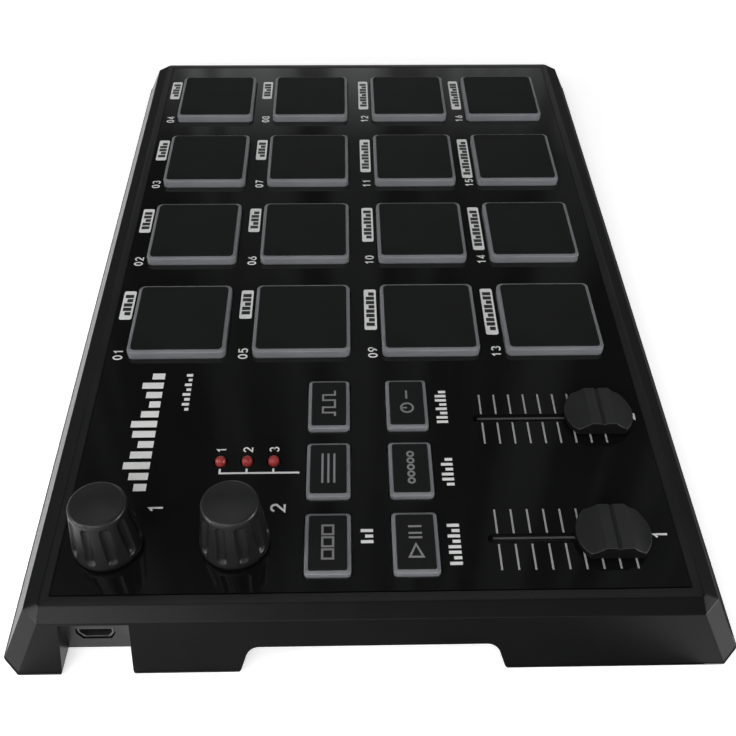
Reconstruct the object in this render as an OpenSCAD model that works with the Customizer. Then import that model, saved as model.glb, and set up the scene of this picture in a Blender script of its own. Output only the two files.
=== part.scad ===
// Pad controller: a low bevelled case with sixteen pads, six buttons, two knobs and two faders.
// X runs along the case from the control end to the pad end, Y across it, Z up from the table.

/* [Case] */
// Length of the case at the foot of its walls
case_length = 248; // [222:1:280]
// Width of the case at the foot of its walls
case_width = 160; // [144:1:180]
// Height of the walls, from their lower edge to the top face
wall_height = 13; // [11.6:0.2:18]
// How far the walls lean out from the top face to their foot
wall_lean = 9; // [7:0.5:11]
// Height of the narrow bevel round the top face
bevel_drop = 1.8; // [1.2:0.1:2.2]
// Width of the narrow bevel round the top face
bevel_run = 3.6; // [2:0.1:5]
// Length of the corner facets along each wall
corner_cut = 3.8; // [2:0.1:5]
// Length of the corner facets where they run out at the top face
corner_tip = 0.4; // [0.2:0.1:1.5]
// Thickness of the walls
wall_thickness = 2.2; // [1.6:0.1:3]
// Thickness of the deck under the overlay
deck_thickness = 1.8; // [1.4:0.1:2.2]
// Height of the walls' lower edge above the table
foot_gap = 1; // [0.8:0.1:2]

/* [Panel overlay] */
// Thickness of the printed overlay
overlay_thickness = 0.4; // [0.2:0.1:0.6]
// Width of the bare rim of the case round the overlay
rim_width = 2.2; // [1:0.2:3.6]

/* [Pads] */
// Length of the control section, from the end of the top face to the first column of pads
control_length = 73.8; // [66:0.2:82]
// Gap between pads along the case
pad_gap_x = 11.9; // [9:0.1:14]
// Gap between pads across the case
pad_gap_y = 7; // [6:0.1:8]
// Gap between the two middle rows of pads
pad_middle_gap = 8.5; // [7:0.1:10]
// Distance from the end of the top face to the last column of pads
pad_margin = 12.5; // [11:0.5:14]
// Distance from the side of the top face to the outer rows of pads
pad_side_margin = 7.75; // [7:0.25:9]
// Height of a pad above the panel
pad_rise = 2.5; // [1.6:0.1:4]
// How far a pad can be pressed
pad_travel = 0.8; // [0.4:0.1:1.2]
// Corner radius of a pad
pad_corner = 1.7; // [1.2:0.1:3]
// Width of the light rim round a pad's black top
pad_rim = 1; // [0.6:0.1:1.5]

/* [Buttons] */
// Width of a button across the case
button_width = 10.3; // [8:0.1:11.5]
// Gap between buttons along the case
button_gap_x = 4.7; // [4:0.1:6]
// Gap between the two rows of buttons
button_gap_y = 9.2; // [6:0.1:10.4]
// Distance from the end of the top face to the first column of buttons
button_margin = 5.8; // [5:0.1:6.6]
// Distance from the last column of buttons to the first column of pads
split_gap = 10; // [9.4:0.1:12]
// Height of a button above the panel
button_rise = 1.6; // [1:0.1:2.4]
// How far a button can be pressed
button_travel = 0.8; // [0.4:0.1:1.2]
// Corner radius of a button
button_corner = 1; // [0.6:0.1:2]
// Width of the light rim round a button's black top
button_rim = 0.9; // [0.6:0.1:1.5]

/* [Knobs] */
// Diameter of a knob at its foot
knob_foot_diameter = 15.6; // [13:0.2:17]
// Diameter of a knob at its top
knob_top_diameter = 12.6; // [11:0.2:13]
// Height of a knob
knob_height = 14.2; // [12:0.2:18]
// Gap between a knob and the panel
knob_gap = 0.6; // [0.4:0.1:1]
// Number of flutes round a knob
flute_count = 10; // [8:1:12]
// Radius of the flutes
flute_radius = 1.3; // [0.9:0.1:1.5]
// Depth of the flutes
flute_depth = 0.7; // [0.4:0.1:0.8]
// Diameter of a knob's shaft
shaft_diameter = 6; // [5:0.1:6.2]
// Distance from the end of the top face to the knobs' axes
knob_margin = 15.3; // [14:0.1:17]
// Place of the first knob, as a share of the room between the buttons and the side
knob_1_share = 0.777; // [0.74:0.005:0.79]
// Place of the second knob, as a share of the same room
knob_2_share = 0.276; // [0.22:0.002:0.34]
// How far the second knob stands turned
knob_2_turn = -11; // [-140:1:140]

/* [Faders] */
// Travel of a fader
fader_travel = 30; // [24:1:31]
// Distance from the second fader to the first column of pads
fader_far_margin = 22.4; // [20:0.1:24]
// How far the faders stand out from the middle between the buttons and the side
fader_shift = 0.4; // [0:0.1:1]
// Where the first fader stands along its travel
fader_1_rest = 4.3; // [0:0.1:20]
// Where the second fader stands along its travel
fader_2_rest = 1; // [0:0.1:20]
// Length of a fader cap along its travel
cap_length = 17; // [14:0.2:18]
// Width of a fader cap
cap_width = 12.2; // [10:0.2:13]
// Height of a fader cap at its ridge
cap_height = 3.7; // [3.4:0.1:6]
// Height of a fader cap at its ends
cap_end_height = 1.3; // [1:0.1:2.4]
// Width of the ridge across a fader cap
cap_ridge = 6.2; // [5:0.1:7]
// Gap between a fader cap and the panel
cap_gap = 0.7; // [0.5:0.1:0.9]
// Width of the slots in the panel
slot_width = 2.4; // [2:0.1:2.8]
// Width of the slots that the levers run in
lever_slot_width = 1.8; // [1.6:0.1:1.9]

/* [Indicator lights] */
// Diameter of an indicator light
led_diameter = 3; // [2.4:0.1:3.4]
// Height of an indicator light above the panel
led_rise = 0.6; // [0.3:0.1:1.2]
// Place of the middle light, as a share of the room between the buttons and the side
led_share = 0.255; // [0.24:0.005:0.3]
// Distance between lights, as a share of the same room
led_pitch_share = 0.113; // [0.09:0.001:0.115]
// Distance from the knobs' axes to the lights, along the case
led_from_knobs = 23; // [20:0.1:25]

/* [USB recess and finger cut-out] */
// Depth of the recess and of the cut-out, from the foot of the end wall
recess_depth = 6.2; // [5.4:0.1:7]
// Distance from the port's middle to the recess's side towards the middle of the case
recess_in = 7.7; // [6.4:0.1:9]
// Distance from the port's middle to the recess's side towards the corner of the case
recess_out = 6.9; // [6:0.1:7.2]
// How far each side of the recess flares out at its mouth
recess_flare = 0.3; // [0.1:0.1:0.8]
// Distance from the recess's roof to the top face
recess_roof = 2.4; // [2.3:0.1:3.4]
// Distance of the port from the side of the top face
port_side_margin = 11.5; // [11:0.1:14]
// Width of the finger cut-out at its roof
cutout_width = 53; // [40:1:56]
// Height of the finger cut-out
cutout_height = 5.3; // [4.6:0.1:5.6]
// Slant of the cut-out's two sides
cutout_slant = 2; // [1:0.1:5]
// Radius of the cut-out's upper corners
cutout_round = 3; // [1:0.5:5]

/* [Boards and fixings] */
// Thickness of the circuit boards
board_thickness = 1.6; // [1:0.1:1.8]
// Length of a potentiometer's body
pot_length = 11.6; // [9:0.1:12]
// Width of a potentiometer's body
pot_width = 11; // [9:0.1:12]
// Thickness of the sensor sheet
sheet_thickness = 0.3; // [0.2:0.1:0.5]
// Thickness of the bottom cover
cover_thickness = 1.6; // [1.2:0.1:1.8]
// Diameter of the screws' threads
screw_diameter = 2.6; // [2:0.1:3]
// Diameter of the posts that the screws go into
boss_diameter = 5.6; // [5:0.1:6]
// Diameter of a rubber foot
foot_diameter = 10; // [8:0.5:14]

/* [Hidden] */
$fn = 64;
// Clearances: round a sliding key, of a captive flange, of a turning or pushed fit, of a loose part,
// and of a board's edge
key_clearance = 0.35;
flange_clearance = 0.3;
fit_clearance = 0.05;
loose_clearance = 0.3;
board_clearance = 0.5;
sliver = 0.01;
// How far a cut runs past the edge that it opens
overrun = 0.5;

// Levels
wall_low = foot_gap;
top_z = wall_low + wall_height;
bevel_z = top_z - bevel_drop;
deck_top = top_z - overlay_thickness;
deck_low = deck_top - deck_thickness;
cover_inset = 0.4;
cover_low = wall_low + cover_inset;
cover_top = cover_low + cover_thickness;
cover_gap = 0.4;
control_low = cover_top + cover_gap;
control_top = control_low + board_thickness;
pot_height = deck_low - control_top;

// Top face
top_length = case_length - 2 * wall_lean;
top_width = case_width - 2 * wall_lean;
overlay_length = top_length - 2 * rim_width;
overlay_width = top_width - 2 * rim_width;

// Keys: a flange under the deck holds each one in
flange_width = 1.4;
flange_thickness = 1.1;
flange_top = deck_low - flange_clearance;
flange_low = flange_top - flange_thickness;
key_step = 0.25;
pad_columns = 4;
pad_rows = 4;
pad_room_x = top_length - control_length - pad_margin - (pad_columns - 1) * pad_gap_x;
pad_length = pad_room_x / pad_columns;
pad_room_y = top_width - 2 * pad_side_margin - (pad_rows - 2) * pad_gap_y - pad_middle_gap;
pad_width = pad_room_y / pad_rows;
pad_pitch_x = pad_length + pad_gap_x;
pad_pitch_y = pad_width + pad_gap_y;
middle_extra = pad_middle_gap - pad_gap_y;
function pad_x(column) = -top_length / 2 + control_length + pad_length / 2 + column * pad_pitch_x;
function pad_y(row) =
    ((pad_rows - 1) / 2 - row) * pad_pitch_y + (row < pad_rows / 2 ? 0.5 : -0.5) * middle_extra;
button_columns = 3;
button_rows = 2;
button_room = control_length - button_margin - split_gap - (button_columns - 1) * button_gap_x;
button_length = button_room / button_columns;
button_pitch_x = button_length + button_gap_x;
button_pitch_y = button_width + button_gap_y;
function button_x(column) = -top_length / 2 + button_margin + button_length / 2 + column * button_pitch_x;
function button_y(row) = (0.5 - row) * button_pitch_y;

// Sensor sheet and pad board under the pads
sheet_top = flange_low - pad_travel - loose_clearance;
pad_board_top = sheet_top - sheet_thickness;
pad_board_low = pad_board_top - board_thickness;

// Knobs, lights and faders
knob_x = -top_length / 2 + knob_margin;
button_edge = (button_pitch_y + button_width) / 2;
side_room = top_width / 2 - button_edge;
function side_y(share) = button_edge + share * side_room;
function knob_y(index) = side_y(index == 0 ? knob_1_share : knob_2_share);
function knob_turn(index) = index == 0 ? 0 : knob_2_turn;
knob_low = top_z + knob_gap;
shaft_seat = 1;
shaft_low = control_top + shaft_seat;
shaft_grip = 8.5;
shaft_flat = 1.2;
bushing_diameter = shaft_diameter + 1.6;
led_x = knob_x + led_from_knobs;
function led_y(index) = side_y(led_share - (index - 1) * led_pitch_share);
led_flange = 0.8;
led_flange_reach = 0.4;
fader_pitch = control_length - knob_margin - fader_far_margin;
function fader_x(index) = knob_x + index * fader_pitch;
fader_middle_y = -side_y(0.5) - fader_shift;
fader_end_y = fader_middle_y - fader_travel / 2;
function fader_rest(index) = index == 0 ? fader_1_rest : fader_2_rest;
function fader_y(index) = fader_end_y + fader_rest(index);
lever_thickness = lever_slot_width - 2 * loose_clearance;
lever_length = 4;
lever_grip = 2.4;
carriage_length = 7;
carriage_width = 5.4;
fader_wall = 1;
fader_height = pot_height - 0.2;
fader_cavity_length = fader_travel + carriage_length + 2 * loose_clearance;
fader_body_length = fader_cavity_length + 4 * fader_wall;
fader_body_width = carriage_width + 2 * loose_clearance + 2 * fader_wall;
slot_length = fader_travel + lever_length + 2 * loose_clearance;

// Recess, port and finger cut-out in the end wall
recess_x = -case_length / 2 + recess_depth;
recess_wall = 1.6;
recess_top = top_z - recess_roof;
port_offset = top_width / 2 - port_side_margin;
recess_low_y = port_offset - recess_in - recess_flare;
recess_high_y = port_offset + recess_out + recess_flare;
port_width = 7.7;
port_height = 3.6;
port_foot = 5.6;
port_depth = 9.2;
port_shell = 0.4;
port_hole_clearance = 0.3;
port_z = control_top + port_height / 2;

// Boards, posts and screws
split_x = pad_x(0) - pad_length / 2 - split_gap / 2;
boss_inset = 4.2;
boss_x = [recess_x + recess_wall + boss_inset, split_x, top_length / 2 - boss_inset];
boss_y = top_width / 2 - boss_inset / 2;
boss_room = boss_diameter / 2 + board_clearance;
board_edge = 1.5;
post_diameter = boss_diameter - 1.2;
control_x = [recess_x + recess_wall + loose_clearance, split_x - boss_room];
control_width = top_width;
control_posts = [
    for (x = [
        boss_x[0] + boss_room + post_diameter / 2 + board_edge,
        control_x[1] - post_diameter / 2 - board_edge
    ])
    for (side = [-1, 1]) [x, side * (control_width / 2 - post_diameter / 2 - board_edge / 2)]
];
pad_board_margin = flange_width + 2;
pad_board_x = [
    pad_x(0) - pad_length / 2 - flange_width,
    pad_x(pad_columns - 1) + pad_length / 2 + pad_board_margin
];
pad_board_width = 2 * (pad_y(0) + pad_width / 2 + pad_board_margin);
pad_posts = [
    for (column = [0, pad_columns - 2])
    for (row = [0:pad_rows - 2]) [pad_x(column) + pad_pitch_x / 2, (pad_y(row) + pad_y(row + 1)) / 2]
];
screw_head_diameter = 1.8 * screw_diameter;
screw_head_height = 0.9;
case_bite = 5;
control_bite = 4;
pad_bite = 1.8;
pilot_spare = 0.3;
screw_clearance = 0.2;
foot_sink = 0.4;
foot_inset_x = 22;
foot_inset_y = 20;
cover_clearance = 0.3;
head_pocket = screw_head_height - cover_gap + loose_clearance;

// Flat cable between the boards
cable_width = 16;
cable_thickness = 0.25;
cable_y = knob_y(1);
socket_length = 4;
socket_height = 1.8;
socket_reach = 7;
cable_dip = 0.3;

function two_digits(n) = n < 10 ? str("0", n) : str(n);
function pad_name(index) = str("pad_", two_digits(index + 1));
function button_name(index) = str("button_", index + 1);
pad_total = pad_columns * pad_rows;
button_total = button_columns * button_rows;

// How far the outer wall stands out from the edge of the top face at height z
function lean_at(z) = z > bevel_z
    ? bevel_run * (top_z - z) / bevel_drop
    : bevel_run + (wall_lean - bevel_run) * (bevel_z - z) / (bevel_z - wall_low);

// Length of the corner facets at height z
function corner_at(z) = z > bevel_z
    ? corner_tip + (corner_cut - corner_tip) * (top_z - z) / bevel_drop
    : corner_cut;

// Rectangle with round corners
module rounded_rect(length, width, radius) {
    square([length - 2 * radius, width], center = true);
    square([length, width - 2 * radius], center = true);
    for (x = [-1, 1])
        for (y = [-1, 1])
            translate([x * (length / 2 - radius), y * (width / 2 - radius)])
                circle(r = radius);
}

// Rectangle with its corners cut off
module cut_rect(length, width, cut) {
    x = length / 2;
    y = width / 2;
    polygon([
        [x - cut, -y], [x, -y + cut], [x, y - cut], [x - cut, y],
        [-x + cut, y], [-x, y - cut], [-x, -y + cut], [-x + cut, -y]
    ]);
}

// Thin slice of the case at height z, drawn in by inset
module case_slice(z, inset) {
    grow = 2 * lean_at(z) - 2 * inset;
    translate([0, 0, z])
        linear_extrude(sliver)
            cut_rect(top_length + grow, top_width + grow, corner_at(z));
}

// Outer form of the case, filled
module case_form() {
    hull() {
        case_slice(wall_low, 0);
        case_slice(bevel_z, 0);
        case_slice(top_z - sliver, 0);
    }
}

// Room inside the case, open at the bottom
module case_room() {
    hull() {
        case_slice(wall_low - overrun, wall_thickness);
        case_slice(deck_low - sliver, wall_thickness);
    }
}

// Every hole in the deck and the overlay, seen from above
module panel_holes() {
    for (column = [0:pad_columns - 1])
        for (row = [0:pad_rows - 1])
            translate([pad_x(column), pad_y(row)])
                rounded_rect(
                    pad_length + 2 * key_clearance,
                    pad_width + 2 * key_clearance,
                    pad_corner + key_clearance
                );
    for (column = [0:button_columns - 1])
        for (row = [0:button_rows - 1])
            translate([button_x(column), button_y(row)])
                rounded_rect(
                    button_length + 2 * key_clearance,
                    button_width + 2 * key_clearance,
                    button_corner + key_clearance
                );
    for (index = [0:1]) {
        translate([knob_x, knob_y(index)])
            circle(d = bushing_diameter + 2 * screw_clearance);
        translate([fader_x(index), fader_middle_y])
            rounded_rect(slot_width, slot_length, slot_width / 2 - sliver);
    }
    for (index = [0:2])
        translate([led_x, led_y(index)])
            circle(d = led_diameter + 2 * screw_clearance);
}

// Outline of the USB socket's shell, seen from the end, grown all round
module port_outline(grow) {
    top = port_height / 2 + grow;
    wide = port_width / 2 + grow;
    narrow = port_foot / 2 + grow;
    polygon([[-narrow, -top], [narrow, -top], [wide, 0], [wide, top], [-wide, top], [-wide, 0]]);
}

// Stands a flat outline up on the plane x, facing along X, and draws it out to the given depth
module stand_up(x, depth) {
    translate([x, 0, 0])
        rotate([90, 0, 90])
            linear_extrude(depth)
                children();
}

// The finger cut-out seen from the end
module cutout_outline(grow) {
    reach = cutout_width / 2 + grow;
    roof = wall_low + cutout_height + grow;
    offset(r = cutout_round)
        offset(delta = -cutout_round)
            polygon([
                [-reach - 3 * cutout_slant, wall_low - 2 * cutout_height],
                [reach + 3 * cutout_slant, wall_low - 2 * cutout_height],
                [reach, roof],
                [-reach, roof]
            ]);
}

// Plain post that hangs from the deck down to the given height
module post(place, diameter, low) {
    translate([place[0], place[1], low])
        cylinder(d = diameter, h = deck_low - low + deck_thickness / 2);
}

// Hole for a screw, cut up into a post
module pilot(place, low, bite) {
    translate([place[0], place[1], low - sliver])
        cylinder(d = screw_diameter + fit_clearance, h = bite + pilot_spare);
}

// The recess seen from above, flared towards its mouth
module recess_outline() {
    mouth_x = -case_length / 2;
    outer_x = mouth_x - recess_depth;
    high = recess_out + recess_flare;
    low = -recess_in - recess_flare;
    polygon([
        [recess_x, recess_out], [mouth_x, high], [outer_x, high],
        [outer_x, low], [mouth_x, low], [recess_x, -recess_in]
    ]);
}

case_bosses = [for (x = boss_x) for (side = [-1, 1]) [x, side * boss_y]];

module top_housing() {
    color([0.13, 0.135, 0.135])
        difference() {
            union() {
                difference() {
                    case_form();
                    case_room();
                }
                intersection() {
                    case_form();
                    union() {
                        translate([-case_length / 2, recess_low_y - recess_wall, 0])
                            cube([
                                recess_depth + recess_wall,
                                recess_high_y - recess_low_y + 2 * recess_wall,
                                deck_top
                            ]);
                        stand_up(-case_length / 2, recess_depth + recess_wall)
                            cutout_outline(recess_wall);
                    }
                }
                for (place = case_bosses)
                    post(place, boss_diameter, cover_top);
                for (place = control_posts)
                    post(place, post_diameter, control_top);
                for (place = pad_posts)
                    post(place, post_diameter, pad_board_top);
            }
            translate([0, 0, deck_top])
                linear_extrude(2 * overlay_thickness)
                    square([overlay_length, overlay_width], center = true);
            translate([0, 0, deck_low - sliver])
                linear_extrude(2 * deck_thickness)
                    panel_holes();
            translate([0, port_offset, -sliver])
                linear_extrude(recess_top)
                    recess_outline();
            translate([0, port_offset, port_z])
                stand_up(recess_x - recess_wall, 3 * recess_wall)
                    port_outline(port_hole_clearance);
            stand_up(-case_length, case_length + recess_x)
                cutout_outline(0);
            for (place = case_bosses)
                pilot(place, cover_top, case_bite);
            for (place = control_posts)
                pilot(place, control_top, control_bite);
            for (place = pad_posts)
                pilot(place, pad_board_top, pad_bite);
        }
}

module panel_overlay() {
    color([0.05, 0.05, 0.055])
        translate([0, 0, deck_top])
            linear_extrude(overlay_thickness)
                difference() {
                    square(
                        [overlay_length - 2 * fit_clearance, overlay_width - 2 * fit_clearance],
                        center = true
                    );
                    panel_holes();
                }
}

module bottom_cover() {
    grow = 2 * lean_at(cover_top) - 2 * wall_thickness - 2 * cover_clearance;
    notch_x = recess_x + recess_wall + cover_clearance;
    notch_wall = recess_wall + cover_clearance;
    cutout_foot = cutout_width / 2 + cutout_slant + notch_wall;
    color([0.1, 0.1, 0.1])
        difference() {
            translate([0, 0, cover_low])
                linear_extrude(cover_thickness)
                    difference() {
                        cut_rect(top_length + grow, top_width + grow, corner_at(cover_top));
                        translate([-case_length, recess_low_y - notch_wall])
                            square([case_length + notch_x, recess_high_y - recess_low_y + 2 * notch_wall]);
                        translate([-case_length, -cutout_foot])
                            square([case_length + notch_x, 2 * cutout_foot]);
                        for (place = case_bosses)
                            translate(place)
                                circle(d = screw_diameter + 2 * screw_clearance);
                    }
            for (place = foot_places)
                translate([place[0], place[1], cover_low - sliver])
                    cylinder(d = foot_diameter + 2 * fit_clearance, h = foot_sink + sliver);
            for (place = control_posts)
                translate([place[0], place[1], cover_top - head_pocket])
                    cylinder(d = screw_head_diameter + 2 * loose_clearance, h = head_pocket + sliver);
        }
}

foot_places = [
    for (x = [-1, 1])
    for (y = [-1, 1]) [x * (case_length / 2 - foot_inset_x), y * (case_width / 2 - foot_inset_y)]
];

module rubber_feet() {
    color([0.2, 0.2, 0.2])
        for (place = foot_places)
            translate([place[0], place[1], 0])
                cylinder(d = foot_diameter, h = cover_low + foot_sink);
}

// Screw with a pan head, driven upwards; head_top is the face that it clamps
module screw(place, head_top, length) {
    translate([place[0], place[1], head_top - screw_head_height])
        cylinder(d = screw_head_diameter, h = screw_head_height);
    translate([place[0], place[1], head_top - sliver])
        cylinder(d = screw_diameter, h = length);
}

module case_screws() {
    color([0.45, 0.45, 0.47])
        for (place = case_bosses)
            screw(place, cover_low, cover_thickness + case_bite);
}

module board_screws() {
    color([0.5, 0.5, 0.52]) {
        for (place = control_posts)
            screw(place, control_low, board_thickness + control_bite);
        for (place = pad_posts)
            screw(place, pad_board_low, board_thickness + pad_bite);
    }
}

module control_board() {
    notch = [boss_x[0] + boss_room - control_x[0], control_width / 2 - boss_y + boss_room];
    color([0.06, 0.3, 0.14])
        translate([0, 0, control_low])
            linear_extrude(board_thickness)
                difference() {
                    translate([control_x[0], -control_width / 2])
                        square([control_x[1] - control_x[0], control_width]);
                    for (side = [-1, 1])
                        translate([
                            control_x[0] - sliver,
                            side * (control_width / 2 - notch[1] / 2 + sliver) - notch[1] / 2
                        ])
                            square(notch);
                    for (place = control_posts)
                        translate(place)
                            circle(d = screw_diameter + 2 * screw_clearance);
                }
}

module pad_board() {
    color([0.06, 0.3, 0.14])
        translate([0, 0, pad_board_low])
            linear_extrude(board_thickness)
                difference() {
                    translate([pad_board_x[0], -pad_board_width / 2])
                        square([pad_board_x[1] - pad_board_x[0], pad_board_width]);
                    for (place = pad_posts)
                        translate(place)
                            circle(d = screw_diameter + 2 * screw_clearance);
                }
}

module pad_sensor_sheet() {
    inset = 0.6;
    color([0.75, 0.72, 0.6])
        translate([0, 0, pad_board_top])
            linear_extrude(sheet_thickness)
                difference() {
                    translate([pad_board_x[0] + inset, -pad_board_width / 2 + inset])
                        square([pad_board_x[1] - pad_board_x[0] - 2 * inset, pad_board_width - 2 * inset]);
                    for (place = pad_posts)
                        translate(place)
                            circle(d = post_diameter + 2 * loose_clearance);
                }
}

// Soft key with a flange under the deck and a black top that stands a step above its light rim
module key(length, width, corner, rim, rise) {
    rim_z = top_z + rise - key_step;
    color([0.62, 0.62, 0.65]) {
        translate([0, 0, flange_low])
            linear_extrude(flange_thickness)
                rounded_rect(length + 2 * flange_width, width + 2 * flange_width, corner + flange_width);
        translate([0, 0, flange_low])
            linear_extrude(rim_z - flange_low)
                rounded_rect(length, width, corner);
    }
    color([0.11, 0.115, 0.12])
        translate([0, 0, rim_z - sliver])
            linear_extrude(key_step + sliver)
                rounded_rect(length - 2 * rim, width - 2 * rim, corner - rim / 2);
}

module pad(index) {
    translate([pad_x(index % pad_columns), pad_y(floor(index / pad_columns)), 0])
        key(pad_length, pad_width, pad_corner, pad_rim, pad_rise);
}

module button(index) {
    translate([button_x(index % button_columns), button_y(floor(index / button_columns)), 0])
        key(button_length, button_width, button_corner, button_rim, button_rise);
}

module button_switches() {
    body = 6;
    plunger_height = 0.5;
    plunger_diameter = 3.2;
    plunger_top = flange_low - button_travel - loose_clearance;
    color([0.3, 0.3, 0.32])
        for (column = [0:button_columns - 1])
            for (row = [0:button_rows - 1])
                translate([button_x(column), button_y(row), control_top]) {
                    translate([-body / 2, -body / 2, 0])
                        cube([body, body, plunger_top - plunger_height - control_top]);
                    cylinder(d = plunger_diameter, h = plunger_top - control_top);
                }
}

module potentiometers() {
    color([0.35, 0.36, 0.38])
        for (index = [0:1])
            translate([knob_x, knob_y(index), 0])
                difference() {
                    union() {
                        translate([-pot_length / 2, -pot_width / 2, control_top])
                            cube([pot_length, pot_width, pot_height]);
                        translate([0, 0, control_top])
                            cylinder(d = bushing_diameter, h = top_z - control_top);
                    }
                    translate([0, 0, shaft_low])
                        cylinder(d = shaft_diameter + 2 * fit_clearance, h = wall_height);
                }
}

// Round bar with a flat along its upper stretch
module flatted_bar(diameter, low, high, flat_from) {
    difference() {
        translate([0, 0, low])
            cylinder(d = diameter, h = high - low);
        translate([diameter / 2 - shaft_flat, -diameter, flat_from])
            cube([diameter, 2 * diameter, high]);
    }
}

module knob_shaft(index) {
    color([0.7, 0.7, 0.72])
        translate([knob_x, knob_y(index), 0])
            rotate(knob_turn(index))
                flatted_bar(
                    shaft_diameter, shaft_low + fit_clearance, knob_low + shaft_grip - fit_clearance, knob_low
                );
}

module knob(index) {
    foot = knob_foot_diameter / 2;
    top = knob_top_diameter / 2;
    skirt = 1.2;
    crown = 0.5;
    edge = 1;
    lean = atan((foot - top) / (knob_height - edge - skirt));
    flute_margin = 0.35;
    flute_low = skirt + flute_radius + flute_margin;
    flute_high = knob_height - edge - flute_radius - flute_margin;
    flute_out = flute_radius - flute_depth;
    color([0.09, 0.09, 0.095])
        translate([knob_x, knob_y(index), knob_low])
            rotate(knob_turn(index))
                difference() {
                    rotate_extrude()
                        polygon([
                            [0, 0], [foot, 0], [foot, skirt], [top, knob_height - edge],
                            [top - edge / 3, knob_height - edge / 3],
                            [top - edge, knob_height], [top / 2, knob_height + crown * 3 / 4],
                            [0, knob_height + crown]
                        ]);
                    for (turn = [0:flute_count - 1])
                        rotate(turn * 360 / flute_count)
                            translate([foot + flute_out, 0, skirt])
                                rotate([0, -lean, 0]) {
                                    translate([0, 0, flute_low - skirt])
                                        sphere(r = flute_radius);
                                    translate([0, 0, flute_low - skirt])
                                        cylinder(r = flute_radius, h = flute_high - flute_low);
                                    translate([0, 0, flute_high - skirt])
                                        sphere(r = flute_radius);
                                }
                    translate([0, 0, -knob_low])
                        flatted_bar(
                            shaft_diameter + 2 * fit_clearance,
                            knob_low - overrun, knob_low + shaft_grip, knob_low - overrun
                        );
                }
}

module slide_potentiometers() {
    color([0.55, 0.56, 0.58])
        for (index = [0:1])
            translate([fader_x(index), fader_middle_y, control_top])
                difference() {
                    translate([-fader_body_width / 2, -fader_body_length / 2, 0])
                        cube([fader_body_width, fader_body_length, fader_height]);
                    translate([-fader_body_width / 2 + fader_wall, -fader_cavity_length / 2, fader_wall])
                        cube([
                            fader_body_width - 2 * fader_wall,
                            fader_cavity_length,
                            fader_height - 2 * fader_wall
                        ]);
                    translate([0, 0, fader_height / 2])
                        linear_extrude(fader_height)
                            rounded_rect(lever_slot_width, slot_length, lever_slot_width / 2 - sliver);
                }
}

cap_low = top_z + cap_gap;

module fader_lever(index) {
    carriage_height = fader_height - 2 * fader_wall - 2 * loose_clearance;
    blade_low = control_top + fader_wall + loose_clearance;
    color([0.75, 0.75, 0.76])
        translate([fader_x(index), fader_y(index), 0]) {
            translate([-carriage_width / 2, -carriage_length / 2, blade_low])
                cube([carriage_width, carriage_length, carriage_height]);
            translate([-lever_thickness / 2, -lever_length / 2, blade_low])
                cube([lever_thickness, lever_length, cap_low + lever_grip - fit_clearance - blade_low]);
        }
}

module fader_cap(index) {
    end = cap_length / 2;
    ridge = cap_ridge / 2;
    // Each scoop is a round hollow through the ridge's edge and the end's upper edge
    scoop_ratio = 1.15;
    run = end - ridge;
    fall = cap_height - cap_end_height;
    chord = sqrt(run * run + fall * fall);
    scoop = scoop_ratio * chord;
    stand_off = sqrt(scoop * scoop - chord * chord / 4);
    scoop_y = (end + ridge) / 2 + stand_off * fall / chord;
    scoop_z = (cap_height + cap_end_height) / 2 + stand_off * run / chord;
    groove = 0.35;
    lever_hole = [lever_thickness + 2 * fit_clearance, lever_length + 2 * fit_clearance];
    color([0.12, 0.12, 0.125])
        translate([fader_x(index), fader_y(index), cap_low])
            difference() {
                intersection() {
                    cylinder(d = cap_length, h = cap_height);
                    translate([-cap_width / 2, -cap_length, 0])
                        cube([cap_width, 2 * cap_length, cap_height]);
                }
                for (side = [-1, 1])
                    translate([0, side * scoop_y, scoop_z])
                        rotate([0, 90, 0])
                            cylinder(r = scoop, h = 2 * cap_width, center = true);
                translate([0, 0, cap_height])
                    rotate([0, 90, 0])
                        cylinder(r = groove, h = 2 * cap_width, center = true);
                translate([-lever_hole[0] / 2, -lever_hole[1] / 2, -overrun])
                    cube([lever_hole[0], lever_hole[1], lever_grip + overrun]);
            }
}

module status_leds() {
    lens = led_diameter / 2;
    flange_z = deck_low - led_flange - screw_clearance;
    lead = 0.5;
    lead_pitch = 1.27;
    color([0.72, 0.2, 0.2])
        for (index = [0:2])
            translate([led_x, led_y(index), 0]) {
                translate([0, 0, flange_z])
                    cylinder(r = lens, h = top_z + led_rise - lens / 2 - flange_z);
                intersection() {
                    translate([0, 0, top_z + led_rise - lens])
                        sphere(r = lens);
                    translate([-lens, -lens, top_z + led_rise - lens / 2 - sliver])
                        cube([2 * lens, 2 * lens, lens]);
                }
                translate([0, 0, flange_z])
                    cylinder(r = lens + led_flange_reach, h = led_flange);
                for (side = [-1, 1])
                    translate([side * lead_pitch / 2, 0, control_top])
                        cylinder(d = lead, h = flange_z - control_top + sliver);
            }
}

module usb_socket() {
    front_x = recess_x + port_hole_clearance;
    back = 1;
    tongue = [port_depth - 2 * back, 4.4, 1.1];
    color([0.72, 0.73, 0.75])
        translate([0, port_offset, port_z]) {
            difference() {
                stand_up(front_x, port_depth)
                    port_outline(0);
                stand_up(front_x - back, port_depth)
                    port_outline(-port_shell);
            }
            translate([front_x + back, -tongue[1] / 2, -tongue[2] / 2 + port_shell])
                cube([tongue[0] + sliver, tongue[1], tongue[2]]);
        }
}

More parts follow.
